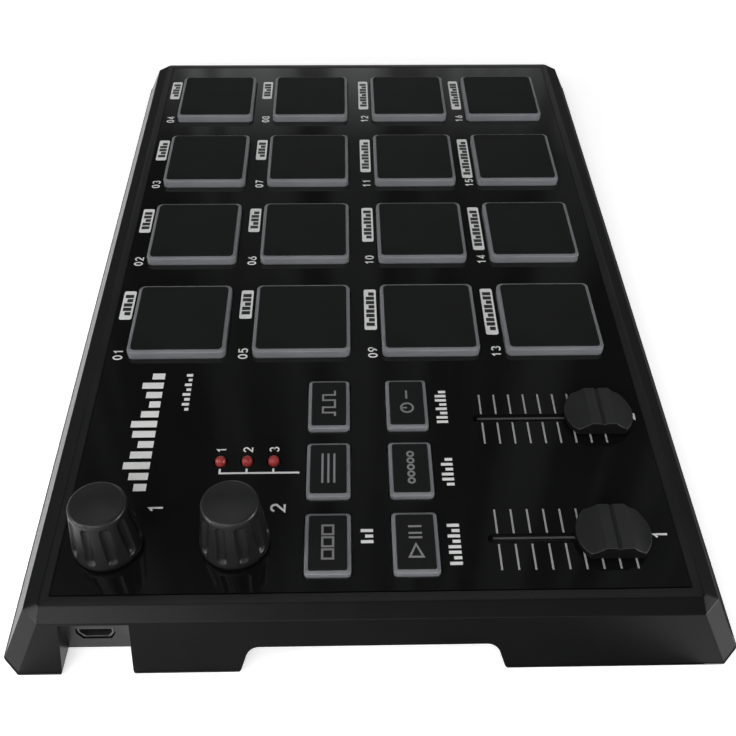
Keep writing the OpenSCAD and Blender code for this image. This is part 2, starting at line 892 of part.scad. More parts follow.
module controller_chip() {
    body = 10;
    height = 1.4;
    leads = 12;
    lead_thickness = 0.2;
    lead_margin = 0.6;
    place = [led_x, (knob_y(0) + led_y(0)) / 2 + body / 2, control_top];
    color([0.1, 0.1, 0.1])
        translate(place) {
            translate([-body / 2, -body / 2, 0])
                cube([body, body, height]);
            translate([-leads / 2, -body / 2 + lead_margin, 0])
                cube([leads, body - 2 * lead_margin, lead_thickness]);
            translate([-body / 2 + lead_margin, -leads / 2, 0])
                cube([body - 2 * lead_margin, leads, lead_thickness]);
        }
}

module cable_sockets() {
    ear = 2;
    width = cable_width + 2 * ear;
    color([0.85, 0.83, 0.75]) {
        translate([split_x - socket_reach - socket_length, cable_y - width / 2, control_top])
            cube([socket_length, width, socket_height]);
        translate([split_x + socket_reach, cable_y - width / 2, pad_board_low - socket_height])
            cube([socket_length, width, socket_height]);
    }
}

module flat_cable() {
    start = control_top + socket_height / 2;
    finish = pad_board_low - socket_height / 2;
    half = cable_thickness / 2;
    route = [
        [split_x - socket_reach, start], [split_x - socket_reach / 2, start - cable_dip],
        [split_x + socket_reach / 2, finish - cable_dip], [split_x + socket_reach, finish]
    ];
    color([0.8, 0.8, 0.82])
        translate([0, cable_y + cable_width / 2, 0])
            rotate([90, 0, 0])
                linear_extrude(cable_width)
                    polygon(concat(
                        [for (point = route) point + [0, half]],
                        [for (i = [len(route) - 1:-1:0]) route[i] - [0, half]]
                    ));
}

top_housing();
panel_overlay();
bottom_cover();
control_board();
pad_board();
pad_sensor_sheet();
button_switches();
potentiometers();
slide_potentiometers();
status_leds();
usb_socket();
controller_chip();
cable_sockets();
flat_cable();
rubber_feet();
case_screws();
board_screws();
for (i = [0:pad_total - 1])
    pad(i);
for (i = [0:button_total - 1])
    button(i);
for (i = [0:1]) {
    knob(i);
    knob_shaft(i);
    fader_cap(i);
    fader_lever(i);
}
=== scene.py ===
# %% [markdown]
# # A pad controller, dressed for the camera
# The solid model already has every piece at its real size and place. This lesson adds what the eye
# expects: soft edges, printed marks, silicone keys, a glossy panel and studio light. Each step first
# says what the piece is on the real object, how it could be made, and why it is made this way.

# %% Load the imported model
import math

import bmesh
import bpy
from mathutils import Matrix, Vector


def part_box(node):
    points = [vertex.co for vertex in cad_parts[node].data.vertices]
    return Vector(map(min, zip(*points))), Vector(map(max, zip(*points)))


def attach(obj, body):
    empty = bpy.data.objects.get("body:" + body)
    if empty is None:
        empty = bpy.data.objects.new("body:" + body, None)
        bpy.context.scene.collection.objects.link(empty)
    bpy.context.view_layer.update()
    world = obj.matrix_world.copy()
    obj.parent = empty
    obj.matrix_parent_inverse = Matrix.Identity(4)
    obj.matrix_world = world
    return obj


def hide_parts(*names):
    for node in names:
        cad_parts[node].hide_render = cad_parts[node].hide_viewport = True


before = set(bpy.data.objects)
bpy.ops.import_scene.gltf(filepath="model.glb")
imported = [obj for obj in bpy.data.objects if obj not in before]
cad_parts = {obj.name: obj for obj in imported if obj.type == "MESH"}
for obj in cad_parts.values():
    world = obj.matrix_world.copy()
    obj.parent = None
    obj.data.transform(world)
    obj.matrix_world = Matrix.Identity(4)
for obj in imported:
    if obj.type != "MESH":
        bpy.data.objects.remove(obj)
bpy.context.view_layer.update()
scene = bpy.context.scene
MM = 0.001
panel_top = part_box("panel_overlay")[1].z
print("loaded", len(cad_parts), "solids; the panel lies at", round(panel_top / MM, 2), "mm")

# %% [markdown]
# ## The camera
# The photograph looks down on the short control end from a little above and in front. A camera is a
# place and three directions: to the right, up, and backwards. A tracking constraint could aim it, but
# it would leave the roll to chance. The directions are the columns of the camera's rotation, so they
# are written down straight away.

# %% Place the camera
camera_place = Vector((-0.22757, 0.005, 0.19789))
camera_right = Vector((-0.021003, -0.999742, 0.008263))
camera_up = Vector((0.710542, -0.009107, 0.703599))
picture_width = 736
focal_pixels = 987.25

camera_data = bpy.data.cameras.new("photo_camera")
camera_data.sensor_width = 36
camera_data.lens = camera_data.sensor_width * focal_pixels / picture_width
camera_data.clip_start = 0.01
camera = bpy.data.objects.new("photo_camera", camera_data)
scene.collection.objects.link(camera)
camera_back = camera_right.cross(camera_up)
camera_turn = Matrix((camera_right, camera_up, camera_back)).transposed().to_4x4()
camera.matrix_world = Matrix.Translation(camera_place) @ camera_turn
scene.camera = camera
scene.view_settings.view_transform = "Standard"
print("camera", [round(c / MM) for c in camera_place], "mm, lens", round(camera_data.lens, 1))

# %% [markdown]
# ## Building materials from nodes
# Every finish below is a small node tree round one shader. Each tree could be wired by hand in the
# shader editor; a few helpers make the script as short as that. They start a material, add a node and
# set its sockets, join two nodes, stretch a number to another range, and turn a number into a colour.
# A tree then reads like a recipe, top to bottom.


# %% Helpers for node trees
def add_node(tree, kind, **settings):
    node = tree.nodes.new(kind)
    for name, value in settings.items():
        if name in node.inputs:
            node.inputs[name].default_value = value
        else:
            setattr(node, name, value)
    return node


def join(tree, source, output, target, socket):
    tree.links.new(source.outputs[output], target.inputs[socket])


def remap(tree, source, output, to_range, from_range=(0, 1)):
    """Stretch a node's number from one range to another; its answer is called Result."""
    node = add_node(tree, "ShaderNodeMapRange")
    for socket, value in zip(("From Min", "From Max"), from_range):
        node.inputs[socket].default_value = value
    for socket, value in zip(("To Min", "To Max"), to_range):
        node.inputs[socket].default_value = value
    join(tree, source, output, node, "Value")
    return node


def two_tones(tree, source, output, dark, light, stops=(0, 1)):
    """Turn a node's number into a colour between two tones; its answer is called Color."""
    node = add_node(tree, "ShaderNodeValToRGB")
    for index, tone in enumerate((dark, light)):
        node.color_ramp.elements[index].position = stops[index]
        node.color_ramp.elements[index].color = (*tone, 1)
    join(tree, source, output, node, "Fac")
    return node


def empty_material(name):
    material = bpy.data.materials.new(name)
    material.use_nodes = True
    shader = material.node_tree.nodes["Principled BSDF"]
    return material, material.node_tree, shader


print("node helpers ready")

# %% [markdown]
# ## The studio
# The object stands on a white table. More lamp light would turn the table white, but it would wash out
# the object as well. So the table has a pale colour of its own, and a little glow that only the camera
# and reflections see lifts it to clean paper white, while the shadow of the case stays on it.

# %% White table
table_half = 4.0
table_white = (0.86, 0.86, 0.86, 1)
table_glow = 0.5


def table_material():
    material, tree, shader = empty_material("white_table")
    shader.inputs["Base Color"].default_value = table_white
    shader.inputs["Specular IOR Level"].default_value = 0.1
    paper = add_node(tree, "ShaderNodeTexNoise", Scale=40.0, Detail=4.0)
    rough = remap(tree, paper, "Fac", (0.85, 0.95))
    join(tree, rough, "Result", shader, "Roughness")
    rays = add_node(tree, "ShaderNodeLightPath")
    seen = add_node(tree, "ShaderNodeMath", operation="ADD", use_clamp=True)
    join(tree, rays, "Is Camera Ray", seen, 0)
    join(tree, rays, "Is Glossy Ray", seen, 1)
    glow = remap(tree, seen, "Value", (0, table_glow))
    shader.inputs["Emission Color"].default_value = (1, 1, 1, 1)
    join(tree, glow, "Result", shader, "Emission Strength")
    return material


table_mesh = bpy.data.meshes.new("table")
table_corners = [(-1, -1), (1, -1), (1, 1), (-1, 1)]
table_points = [(x * table_half, y * table_half, 0) for x, y in table_corners]
table_mesh.from_pydata(table_points, [], [(0, 1, 2, 3)])
table = bpy.data.objects.new("table", table_mesh)
scene.collection.objects.link(table)
table_mesh.materials.append(table_material())
print("table", 2 * table_half, "m square")

# %% [markdown]
# The sky of the studio is an even white. A backdrop could be built, but the world itself is simpler and
# has no edge. What the camera sees of it has strength 1, which is white; what falls on the object as
# light is weaker, because most of the light comes from one large lamp.


# %% Even white surroundings
def light_the_world(seen_strength, lighting_strength):
    world = bpy.data.worlds.new("studio")
    scene.world = world
    world.use_nodes = True
    tree = world.node_tree
    background = tree.nodes["Background"]
    background.inputs["Color"].default_value = (1, 1, 1, 1)
    rays = add_node(tree, "ShaderNodeLightPath")
    seen = add_node(tree, "ShaderNodeMath", operation="ADD")
    join(tree, rays, "Is Camera Ray", seen, 0)
    join(tree, rays, "Is Glossy Ray", seen, 1)
    clear = add_node(tree, "ShaderNodeMath", operation="ADD", use_clamp=True)
    join(tree, seen, "Value", clear, 0)
    join(tree, rays, "Is Transmission Ray", clear, 1)
    strength = remap(tree, clear, "Value", (lighting_strength, seen_strength))
    join(tree, strength, "Result", background, "Strength")


light_the_world(seen_strength=1.0, lighting_strength=0.17)
print("world lit")

# %% [markdown]
# Lamps could be points or suns, but those make hard shadows; a photographer's soft box is an area lamp.
# The main one hangs behind the camera, so the faces that look at the camera are the bright ones. A
# small one high on the left gives the front bevel its glow at that end. A narrow one low on the left
# does the work of a window and draws a bright edge on the knobs, and one low on the right lights the
# cut-off corner there. A long narrow one overhead lights the matte rim round the panel, yet stays just
# out of the panel's own mirror.


# %% Soft boxes
def soft_box(name, place, aim, size, power):
    lamp = bpy.data.lights.new(name, "AREA")
    lamp.shape = "RECTANGLE"
    lamp.size = size[0]
    lamp.size_y = size[1]
    lamp.energy = power
    lamp_object = bpy.data.objects.new(name, lamp)
    scene.collection.objects.link(lamp_object)
    direction = Vector(aim) - Vector(place)
    turn = direction.to_track_quat("-Z", "Y").to_matrix().to_4x4()
    lamp_object.matrix_world = Matrix.Translation(place) @ turn


middle_of_case = (0, 0, 0)
knob_side = (-0.1, 0.04, 0.02)
right_corner = (-0.12, -0.075, 0.01)
soft_box("front_soft_box", (-1.1, 0.1, 0.6), middle_of_case, (1.2, 0.8), 12)
soft_box("bevel_soft_box", (-0.5, 0.5, 0.95), middle_of_case, (0.45, 0.45), 2.0)
soft_box("window_soft_box", (-0.4, 0.95, 0.42), knob_side, (0.16, 0.36), 3.4)
soft_box("corner_soft_box", (-0.2, -0.7, 0.11), right_corner, (0.3, 0.1), 1.4)
soft_box("rim_soft_box", (0.48, 0, 1.39), middle_of_case, (1.2, 0.1), 1.0)
print("five soft boxes hung")

# %% [markdown]
# A glossy black panel shows whatever stands round it, so photographers hang dark cloth about a black
# object. A reflection painted on the panel would slide when the camera moves; a tent that stands round
# the table does not. The tent here is a round wall with a roof that only reflections can see. It is not
# lit but glows by itself, brightest near its foot, so what the panel shows of it is a painted reflection.
# Paler folds painted into its glow give the panel the soft upright streaks that make it read as gloss.

# %% Glowing curtain round the table
curtain_radius = 1.1
curtain_low = 0.2
curtain_high = 3.2
curtain_sides = 96
fold_stretch = (1, 1, 0.04)
fold_tones = ((0.14, 0.143, 0.14), (0.45, 0.475, 0.46))
fold_stops = (0.42, 0.62)
fade_heights = (0.45, 0.67)
fade_strengths = (2.7, 0.31)


def glowing_material(name):
    """A finish that only glows, with its tree and the node that glows."""
    material, tree, shader = empty_material(name)
    tree.nodes.remove(shader)
    glow = add_node(tree, "ShaderNodeEmission")
    join(tree, glow, "Emission", tree.nodes["Material Output"], "Surface")
    return material, tree, glow


# The curtain glows by itself, brighter near its foot and in its paler folds: a painted reflection.
def curtain_material():
    material, tree, glow = glowing_material("curtain_painted_reflection")
    place = add_node(tree, "ShaderNodeTexCoord")
    stretch = add_node(tree, "ShaderNodeMapping", Scale=fold_stretch)
    join(tree, place, "Object", stretch, "Vector")
    folds = add_node(tree, "ShaderNodeTexNoise", Scale=12.0, Detail=2.0)
    join(tree, stretch, "Vector", folds, "Vector")
    tone = two_tones(tree, folds, "Fac", *fold_tones, fold_stops)
    join(tree, tone, "Color", glow, "Color")
    height = add_node(tree, "ShaderNodeSeparateXYZ")
    join(tree, place, "Object", height, "Vector")
    fade = remap(tree, height, "Z", fade_strengths, fade_heights)
    join(tree, fade, "Result", glow, "Strength")
    return material


def show_in_reflections_only(card):
    card.visible_camera = False
    card.visible_diffuse = False
    card.visible_shadow = False
    card.visible_transmission = False


curtain_mesh = bpy.data.meshes.new("curtain")
curtain_points = []
for z in (curtain_low, curtain_high):
    for side in range(curtain_sides):
        angle = math.tau * side / curtain_sides
        curtain_points.append((curtain_radius * math.cos(angle), curtain_radius * math.sin(angle), z))
curtain_faces = []
for side in range(curtain_sides):
    after = (side + 1) % curtain_sides
    curtain_faces.append((side, after, curtain_sides + after, curtain_sides + side))
curtain_faces.append(tuple(range(curtain_sides, 2 * curtain_sides)))
curtain_mesh.from_pydata(curtain_points, [], curtain_faces)
curtain_mesh.materials.append(curtain_material())
curtain = bpy.data.objects.new("curtain", curtain_mesh)
scene.collection.objects.link(curtain)
show_in_reflections_only(curtain)
print("curtain hung at", curtain_radius, "m")

# %% [markdown]
# The walls lean back and would mirror the white table beside them, and the side bevels would mirror the
# pale foot of the tent. A darker table would spoil the background. Instead cards like the black flags
# that photographers use to take light away lie and stand in those places; they glow faintly by
# themselves, and only reflections see them. They leave the table white at the corners, along the left
# wall and before the recess of the port, so that those stay bright. The front ones glow paler on the
# left, a painted reflection that makes the front wall darken towards the right.

# %% Black flags round the case
flag_z = 0.5 * MM
flag_height = 0.3
flag_fade = (0.08, -0.06)


# The cards glow, from left_shade on the left to right_shade on the right: a painted reflection.
def flag_material(name, left_shade, right_shade):
    material, tree, glow = glowing_material(name)
    place = add_node(tree, "ShaderNodeTexCoord")
    across = add_node(tree, "ShaderNodeSeparateXYZ")
    join(tree, place, "Object", across, "Vector")
    shade = remap(tree, across, "Y", (left_shade, right_shade), flag_fade)
    join(tree, shade, "Result", glow, "Color")
    return material


def set_flags(name, material, lying, standing):
    outlines = []
    for x0, x1, y0, y1 in lying:
        outlines.append([(x0, y0, flag_z), (x1, y0, flag_z), (x1, y1, flag_z), (x0, y1, flag_z)])
    for (x0, y0), (x1, y1) in standing:
        outlines.append([(x0, y0, 0), (x1, y1, 0), (x1, y1, flag_height), (x0, y0, flag_height)])
    points = [corner for outline in outlines for corner in outline]
    mesh = bpy.data.meshes.new(name)
    mesh.from_pydata(points, [], [tuple(range(4 * i, 4 * i + 4)) for i in range(len(outlines))])
    mesh.materials.append(material)
    flags = bpy.data.objects.new(name, mesh)
    scene.collection.objects.link(flags)
    show_in_reflections_only(flags)
    print(name, "holds", len(outlines), "cards")


front_lying = [(-0.45, -0.112, -0.072, 0.051), (-0.45, -0.128, 0.051, 0.067), (-0.45, -0.112, 0.067, 0.077)]
front_standing = [((-0.45, 0.3), (-0.45, -0.3))]
set_flags("front_flags", flag_material("front_flag", 0.42, 0.03), front_lying, front_standing)
side_lying = [(-0.117, 0.6, -0.098, -0.08), (-0.085, 0.6, -0.5, -0.098), (-0.105, 0.6, 0.115, 0.5)]
far_standing = [((0.2, 0.88), (0.61, 0.66)), ((0.61, 0.66), (0.88, 0.19)), ((0.87, -0.23), (0.23, -0.87))]
set_flags("side_flags", flag_material("side_flag", 0.06, 0.09), side_lying, far_standing)

# %% [markdown]
# ## Moulded plastic
# The case, knobs and caps are moulded plastic. The mould leaves a fine grain, the colour is never
# perfectly even, and hands polish it here and there. One flat colour would look like a toy, and a
# picture of plastic would need unwrapping. Three noises do the work instead: a slow one for colour, a
# middle one for gloss and a fast one for the grain's height. Inks and boards use the same recipe.


# %% Moulded plastic
def moulded_plastic(name, dark, light, gloss, grain_per_mm, grain_depth, mirror=0.5):
    material, tree, shader = empty_material(name)
    place = add_node(tree, "ShaderNodeTexCoord")
    cloud = add_node(tree, "ShaderNodeTexNoise", Scale=60.0, Detail=5.0)
    rub = add_node(tree, "ShaderNodeTexNoise", Scale=220.0, Detail=3.0)
    grain = add_node(tree, "ShaderNodeTexNoise", Scale=grain_per_mm / MM, Detail=2.0)
    for noise in (cloud, rub, grain):
        join(tree, place, "Object", noise, "Vector")
    tone = two_tones(tree, cloud, "Fac", dark, light, (0.3, 0.7))
    join(tree, tone, "Color", shader, "Base Color")
    sheen = remap(tree, rub, "Fac", gloss)
    join(tree, sheen, "Result", shader, "Roughness")
    shader.inputs["Specular IOR Level"].default_value = mirror
    bump = add_node(tree, "ShaderNodeBump", Strength=1.0, Distance=grain_depth * MM)
    join(tree, grain, "Fac", bump, "Height")
    join(tree, bump, "Normal", shader, "Normal")
    return material


case_black = moulded_plastic(
    "case_black", (0.003, 0.0032, 0.0031), (0.0044, 0.0047, 0.0045), (0.26, 0.34), 5, 0.01, 0.26)
# A paler copy of the case black for the flat top faces of the rim: painted sheen.
rim_black_painted_sheen = moulded_plastic(
    "rim_black_painted_sheen", (0.007, 0.0072, 0.0071), (0.011, 0.0113, 0.0111), (0.34, 0.42), 5, 0.01, 0.32)
cover_black = moulded_plastic(
    "cover_black", (0.012, 0.012, 0.012), (0.018, 0.018, 0.018), (0.5, 0.65), 4, 0.02, 0.4)
knob_black = moulded_plastic(
    "knob_black", (0.0065, 0.0065, 0.0067), (0.0135, 0.0135, 0.0137), (0.24, 0.38), 4, 0.05, 0.5)
cap_black = moulded_plastic(
    "cap_black", (0.0075, 0.0076, 0.0078), (0.0105, 0.0106, 0.0109), (0.4, 0.5), 5, 0.03, 0.36)
# A darker copy of the cap black for the caps' sides: painted shade.
cap_side_painted_shade = moulded_plastic(
    "cap_side_painted_shade", (0.002, 0.002, 0.0021), (0.003, 0.003, 0.0031), (0.5, 0.6), 5, 0.03, 0.14)
# A paler copy of the cap black for the caps' ridges: painted sheen.
cap_ridge_painted_sheen = moulded_plastic(
    "cap_ridge_painted_sheen", (0.014, 0.0141, 0.0145), (0.019, 0.0191, 0.0196), (0.4, 0.5), 5, 0.03, 0.36)
chip_black = moulded_plastic(
    "chip_black", (0.015, 0.015, 0.016), (0.022, 0.022, 0.022), (0.45, 0.55), 6, 0.01)
pale_nylon = moulded_plastic(
    "pale_nylon", (0.6, 0.58, 0.5), (0.68, 0.66, 0.58), (0.45, 0.6), 4, 0.01)
foot_rubber = moulded_plastic(
    "foot_rubber", (0.02, 0.02, 0.02), (0.032, 0.032, 0.031), (0.7, 0.85), 3, 0.03)
print("plastics mixed")

# %% [markdown]
# ## The glossy panel
# The panel is a clear sheet printed black on its back. It could be two layers, a clear one over a black
# one, but from outside a single smooth black surface looks the same. It gets a near-black base and the
# faintest finger smudges, which change how sharp the reflection is and hardly the colour.


# %% Glossy panel
def gloss_panel_material():
    material, tree, shader = empty_material("gloss_panel")
    place = add_node(tree, "ShaderNodeTexCoord")
    smudge = add_node(tree, "ShaderNodeTexNoise", Scale=35.0, Detail=6.0, Distortion=1.2)
    join(tree, place, "Object", smudge, "Vector")
    sharpness = remap(tree, smudge, "Fac", (0.04, 0.1), (0.35, 0.75))
    join(tree, sharpness, "Result", shader, "Roughness")
    tone = two_tones(tree, smudge, "Fac", (0.003, 0.003, 0.0031), (0.0044, 0.0044, 0.0045))
    join(tree, tone, "Color", shader, "Base Color")
    shader.inputs["IOR"].default_value = 1.48
    return material


gloss_panel = gloss_panel_material()
print("panel polished")

# %% [markdown]
# ## Silicone, lenses and metal
# The keys are cast in two shots: a milky silicone body and a black silicone top. Milky silicone lets
# light in a little. Glass-like transmission would show the inside, so the shader scatters light just
# under the surface instead. The lights are red resin and scatter in the same way, only in red. Steel
# is brushed, so its noise is stretched along one direction until it draws fine lines.


# %% Silicone, lens and metal
def silicone(name, dark, light, roughness, scatter, mirror=0.5):
    gloss = (roughness - 0.06, roughness + 0.06)
    material = moulded_plastic(name, dark, light, gloss, 6, 0.01, mirror)
    shader = material.node_tree.nodes["Principled BSDF"]
    shader.inputs["Subsurface Weight"].default_value = scatter
    shader.inputs["Subsurface Radius"].default_value = (1, 1, 1)
    shader.inputs["Subsurface Scale"].default_value = 1.2 * MM
    return material


def red_lens_material():
    material, tree, shader = empty_material("red_lens")
    place = add_node(tree, "ShaderNodeTexCoord")
    cloud = add_node(tree, "ShaderNodeTexNoise", Scale=500.0, Detail=2.0)
    join(tree, place, "Object", cloud, "Vector")
    tone = two_tones(tree, cloud, "Fac", (0.26, 0.022, 0.022), (0.38, 0.05, 0.05))
    join(tree, tone, "Color", shader, "Base Color")
    shader.inputs["Roughness"].default_value = 0.08
    shader.inputs["Subsurface Weight"].default_value = 0.4
    shader.inputs["Subsurface Radius"].default_value = (1, 0.2, 0.2)
    shader.inputs["Subsurface Scale"].default_value = 0.8 * MM
    return material


def brushed_metal(name, dark, light, gloss):
    material, tree, shader = empty_material(name)
    place = add_node(tree, "ShaderNodeTexCoord")
    stretch = add_node(tree, "ShaderNodeMapping", Scale=(40, 900, 900))
    join(tree, place, "Object", stretch, "Vector")
    lines = add_node(tree, "ShaderNodeTexNoise", Scale=3.0, Detail=3.0)
    join(tree, stretch, "Vector", lines, "Vector")
    rough = remap(tree, lines, "Fac", gloss)
    join(tree, rough, "Result", shader, "Roughness")
    tone = two_tones(tree, lines, "Fac", dark, light)
    join(tree, tone, "Color", shader, "Base Color")
    shader.inputs["Metallic"].default_value = 1
    return material


key_milky = silicone("key_milky", (0.152, 0.157, 0.168), (0.182, 0.188, 0.2), 0.55, 0.8)
key_black = silicone("key_black", (0.0085, 0.0088, 0.009), (0.0115, 0.0119, 0.0121), 0.6, 0.0, 0.08)
red_lens = red_lens_material()
brushed_steel = brushed_metal("brushed_steel", (0.5, 0.5, 0.51), (0.66, 0.66, 0.67), (0.25, 0.42))
dull_tin = brushed_metal("dull_tin", (0.1, 0.1, 0.098), (0.16, 0.16, 0.157), (0.38, 0.52))
print("silicone, lens and metal mixed")

# %% [markdown]
# Print is plain ink and needs no shader of its own: it is the plastic recipe with an even tone and
# almost no grain. The scales of the faders are printed in a greyer ink than the numbers. Felt, circuit
# boards and the sensor film follow the same recipe.

# %% Inks, felt and boards
white_ink = moulded_plastic("white_ink", (0.68, 0.68, 0.68), (0.76, 0.76, 0.75), (0.4, 0.55), 8, 0.004)
scale_ink = moulded_plastic("scale_ink", (0.27, 0.27, 0.27), (0.32, 0.32, 0.316), (0.4, 0.55), 8, 0.004)
grey_ink = moulded_plastic("grey_ink", (0.17, 0.17, 0.173), (0.21, 0.21, 0.214), (0.45, 0.6), 8, 0.004)
black_ink = moulded_plastic("black_ink", (0.01, 0.01, 0.01), (0.016, 0.016, 0.016), (0.4, 0.5), 8, 0.004)
felt_grey = moulded_plastic("felt_grey", (0.08, 0.08, 0.08), (0.11, 0.11, 0.108), (0.8, 0.95), 3, 0.05, 0.2)
board_green = moulded_plastic(
    "board_green", (0.012, 0.09, 0.035), (0.02, 0.13, 0.05), (0.3, 0.42), 5, 0.006)
sensor_film = moulded_plastic(
    "sensor_film", (0.42, 0.38, 0.26), (0.52, 0.47, 0.33), (0.35, 0.5), 4, 0.006)
print("inks, felt and boards mixed")

# %% [markdown]
# ## Finishes for the solids that stay
# Solids whose shape is already right, most of them inside the case, keep their mesh and only get a
# finish. They could be modelled again, but nothing would be won. One list says which finish goes where.

# %% Finish the solids
finishes = [
    (gloss_panel, ["panel_overlay"]),
    (cover_black, ["bottom_cover"]),
    (board_green, ["control_board", "pad_board"]),
    (sensor_film, ["pad_sensor_sheet"]),
    (chip_black, ["button_switches", "controller_chip"]),
    (dull_tin, ["usb_socket"]),
    (pale_nylon, ["cable_sockets", "flat_cable"]),
    (foot_rubber, ["rubber_feet"]),
    (brushed_steel, ["potentiometers", "slide_potentiometers", "case_screws", "board_screws"]),
    (brushed_steel, ["knob_shaft_1", "knob_shaft_2", "fader_lever_1", "fader_lever_2"]),
]
for finish, node_names in finishes:
    for node_name in node_names:
        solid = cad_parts[node_name]
        solid.data.materials.clear()
        solid.data.materials.append(finish)
print("finished", sum(len(node_names) for finish, node_names in finishes), "solids")

# %% [markdown]
# ## New pieces
# A new piece is a mesh, a finish and the body that carries it. One helper does all of that, so that no
# piece can be left behind when a joint moves. Faces that meet at more than the given angle keep a sharp
# edge; the rest shade smoothly.


# %% Helper for new pieces
def new_piece(name, mesh, finish, body, stands_for=(), place=(0, 0, 0), sharp_degrees=30):
    if finish.name not in mesh.materials:
        mesh.materials.append(finish)
    mesh.shade_smooth()
    mesh.set_sharp_from_angle(angle=math.radians(sharp_degrees))
    piece = bpy.data.objects.new(name, mesh)
    piece.location = place
    scene.collection.objects.link(piece)
    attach(piece, body)
    if stands_for:
        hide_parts(*stands_for)
    return piece


def flatten_shading(piece):
    """Let large flat faces keep their flat shading beside rounded edges."""
    weigh = piece.modifiers.new("weigh", "WEIGHTED_NORMAL")
    weigh.keep_sharp = True
    weigh.weight = 100


print("piece helper ready")

# %% [markdown]
# ## The case, with its edges eased
# A moulded edge is never knife-sharp: a small radius runs along it and catches a thin line of light. A
# bevel on every edge would be quick, but it would also round the hidden ribs and holes. So the case is
# a copy of the solid's mesh, and only edges on the outer walls get a bevel weight. To find them, the
# outer form is written as a function: how far the wall stands out at each height.

# %% The outer walls as a function
case_low, case_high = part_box("top_housing")
bevel_height = 1.8 * MM
bevel_run = 3.6 * MM
wall_lean = 9 * MM
shoulder_z = case_high.z - bevel_height


def wall_reach(z):
    """How far the outer wall stands out from the top face's edge at height z."""
    if z > shoulder_z:
        return bevel_run * (case_high.z - z) / bevel_height
    return bevel_run + (wall_lean - bevel_run) * (shoulder_z - z) / (shoulder_z - case_low.z)


def depth_inside(point):
    """How far a point lies inside the four outer walls, zero on a wall."""
    reach = wall_reach(point.z)
    half_x = case_high.x - wall_lean + reach
    half_y = case_high.y - wall_lean + reach
    return min(half_x - abs(point.x), half_y - abs(point.y))


print("the walls lean out", round(wall_reach(case_low.z) / MM, 1), "mm at their foot")

# %% [markdown]
# Each outer edge gets its share of the full radius. The rim round the panel is the roundest, the
# shoulder below the bevel the crispest. The flat top of the rim has a finish of its own, a paler black
# that is a painted sheen.

# %% Case with eased edges
edge_radius = 0.55 * MM
rim_share = 1
shoulder_share = 0.2
wall_share = 0.3
other_share = 0.6
close = 0.05 * MM
top_close = 0.01 * MM
corner_x = 0.1
corner_y = 0.06
deepest_edge = 2.6 * MM
least_bend = math.radians(8)


def is_outer(edge):
    """Whether an edge bends and lies on the outer walls, the top or a cut-off corner."""
    if len(edge.link_faces) != 2 or edge.calc_face_angle(0) <= least_bend:
        return False
    spots = [v.co for v in edge.verts]
    on_wall = all(depth_inside(p) < close or p.z > case_high.z - top_close for p in spots)
    at_corner = all(abs(p.x) > corner_x and abs(p.y) > corner_y for p in spots)
    return (on_wall or at_corner) and min(depth_inside(p) for p in spots) < deepest_edge


def radius_share(edge):
    heights = [v.co.z for v in edge.verts]
    if min(heights) > case_high.z - close:
        return rim_share
    if all(abs(z - shoulder_z) < close for z in heights):
        return shoulder_share
    if case_low.z + close < sum(heights) / 2 < case_high.z - 1.05 * bevel_height:
        return wall_share
    return other_share


case_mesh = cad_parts["top_housing"].data.copy()
case_mesh.name = "case_eased"
case_mesh.materials.clear()
case_mesh.materials.append(case_black)
case_mesh.materials.append(rim_black_painted_sheen)
shape = bmesh.new()
shape.from_mesh(case_mesh)
bmesh.ops.remove_doubles(shape, verts=shape.verts, dist=0.002 * MM)
bmesh.ops.dissolve_limit(shape, angle_limit=math.radians(0.5), verts=shape.verts, edges=shape.edges)
weights = shape.edges.layers.float.new("bevel_weight_edge")
outer_edges = [edge for edge in shape.edges if is_outer(edge)]
for edge in outer_edges:
    edge[weights] = radius_share(edge)
print("eased", len(outer_edges), "edges of the case")
# Faces at the very top take the paler rim finish, a painted sheen.
for face in shape.faces:
    face.material_index = int(face.calc_center_median().z > case_high.z - close)
shape.to_mesh(case_mesh)
shape.free()
case_piece = new_piece(
    "case", case_mesh, case_black, "case", ["top_housing"], sharp_degrees=40)
ease = case_piece.modifiers.new("ease", "BEVEL")
ease.limit_method = "WEIGHT"
ease.width = edge_radius
ease.segments = 3
ease.use_clamp_overlap = False
flatten_shading(case_piece)

# %% [markdown]
# ## Lofted shapes
# Keys, knobs, lights and caps are all stacks of closed outlines. They could be cut from blocks with
# booleans, but those leave untidy faces. A loft joins each outline to the next with four-sided faces
# and closes both ends, which gives a clean solid whose roundness is set by how many outlines are
# stacked.


# %% Loft helper and rounded outlines
def loft(name, outlines):
    count = len(outlines[0])
    points = [p for outline in outlines for p in outline]
    faces = [tuple(reversed(range(count)))]
    for level in range(len(outlines) - 1):
        a = level * count
        b = a + count
        for i in range(count):
            j = (i + 1) % count
            faces.append((a + i, a + j, b + j, b + i))
    last = (len(outlines) - 1) * count
    faces.append(tuple(last + i for i in range(count)))
    mesh = bpy.data.meshes.new(name)
    mesh.from_pydata(points, [], faces)
    return mesh


def rounded_outline(length, width, corner, z, steps=8):
    points = []
    for quarter, (sx, sy) in enumerate(((1, 1), (-1, 1), (-1, -1), (1, -1))):
        x = sx * (length / 2 - corner)
        y = sy * (width / 2 - corner)
        for step in range(steps + 1):
            angle = math.radians(90 * (quarter + step / steps))
            points.append((x + corner * math.cos(angle), y + corner * math.sin(angle), z))
    return points


print("loft ready")

# %% [markdown]
# ## Pads and buttons
# A key is a milky silicone block with a flange that the deck holds down, and a black cap cast into its
# top. A cube with a bevel would give the block, but not the flange nor the thin milky line round the
# black. So the block is one loft, from the hidden flange up over a rounded rim, and the black top is a
# second, thin loft that stands a hair above the rim. All pads share two meshes and all buttons two
# more, so every key is identical.

